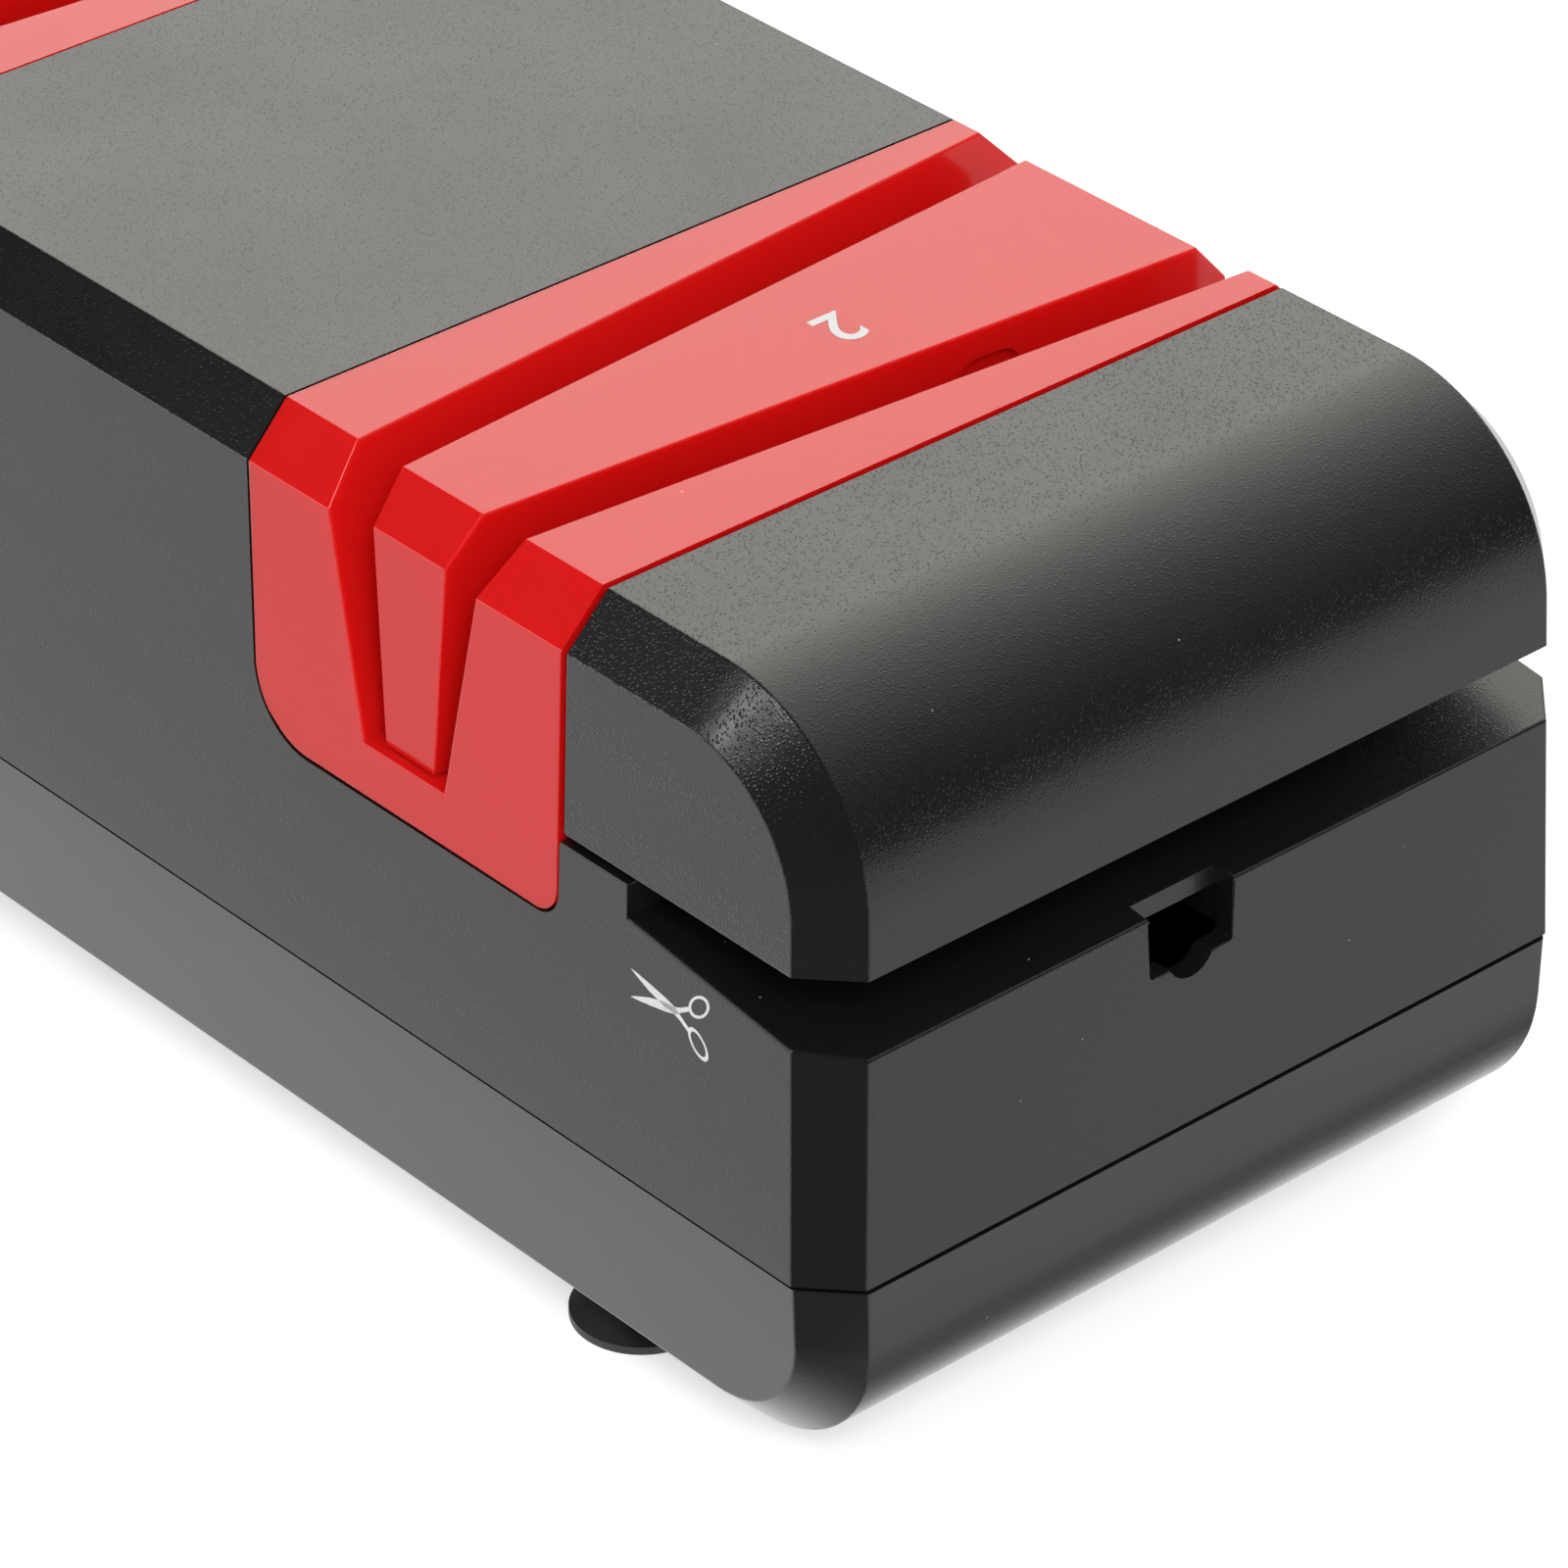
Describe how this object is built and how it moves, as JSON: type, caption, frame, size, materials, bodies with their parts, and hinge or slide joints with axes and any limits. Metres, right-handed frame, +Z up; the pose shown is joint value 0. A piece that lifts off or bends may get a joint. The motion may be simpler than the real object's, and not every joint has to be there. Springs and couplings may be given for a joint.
{
  "type": "electric knife sharpener",
  "caption": "Long box-shaped electric knife sharpener on suction-cup feet, with red guide saddles over driven wheels, a scissors slot round the nose and a screwdriver notch.",
  "frame": {"origin": "centre of the footprint, on the plane that the suction cups stand on", "axes": "+X along the body towards the nose with the scissors slot, +Y across the body, +Z up"},
  "size_m": [0.2246, 0.092, 0.0775],
  "materials": {
    "black_shell": "fine spark texture",
    "red_guide": "gloss",
    "rubber": "moulded",
    "steel": "zinc plated",
    "magnet": "ferrite",
    "abrasive": "bonded grit",
    "hub_aluminium": "turned",
    "bronze": "sintered bronze",
    "black_part": "moulded",
    "board_laminate": "solder mask",
    "white_part": "moulded",
    "capacitor_sleeve": "shrunk sleeve",
    "lead_insulation": "extruded"
  },
  "bodies": {
    "body": {"main_housing": "black_shell", "lower_jaw": "black_shell", "base_tray": "black_shell", "nose_cap": "black_shell", "end_cap": "black_shell", "fine_saddle": "red_guide", "coarse_saddle": "red_guide", "fine_wedge": "red_guide", "coarse_wedge": "red_guide", "nose_bush": "bronze", "far_bush": "bronze", "nose_bearing_cap": "black_part", "far_bearing_cap": "black_part", "motor_can": "steel", "motor_end_bell": "black_part", "motor_magnets": "magnet", "motor_bush_nose": "bronze", "motor_bush_far": "bronze", "motor_terminals": "bronze", "motor_pad_nose": "rubber", "motor_pad_far": "rubber", "motor_strap_nose": "steel", "motor_strap_far": "steel", "switch_body": "black_part", "switch_terminals": "bronze", "power_jack": "black_part", "power_jack_pin": "bronze", "circuit_board": "board_laminate", "board_capacitor": "capacitor_sleeve", "board_connector": "white_part", "lead_motor_left": "lead_insulation", "lead_motor_right": "lead_insulation", "body_screws": "steel", "cap_screws": "steel", "saddle_screws": "steel", "wedge_screws": "steel", "strap_screws": "steel", "bearing_screws": "steel", "board_screws": "steel", "foot_1": "rubber", "foot_2": "rubber", "foot_3": "rubber", "foot_4": "rubber"},
    "rotor": {"drive_shaft": "steel", "fine_hub": "hub_aluminium", "coarse_hub": "hub_aluminium", "fine_wheel": "abrasive", "coarse_wheel": "abrasive", "fine_wheel_nut": "hub_aluminium", "coarse_wheel_nut": "hub_aluminium", "tool_wheel": "abrasive", "tool_hub": "hub_aluminium", "motor_armature": "steel", "grub_screws": "steel"},
    "rocker": {"switch_rocker": "black_part"}
  },
  "joints": [
    {"name": "rotor_spin", "type": "hinge", "parent": "body", "child": "rotor", "pos_m": [0, 0, 0.036], "axis": [1, 0, 0], "continuous": true},
    {"name": "rocker_tilt", "type": "hinge", "parent": "body", "child": "rocker", "pos_m": [-0.10556, 0, 0.03958], "axis": [0, 1, 0], "range_deg": [0, 14]}
  ]
}
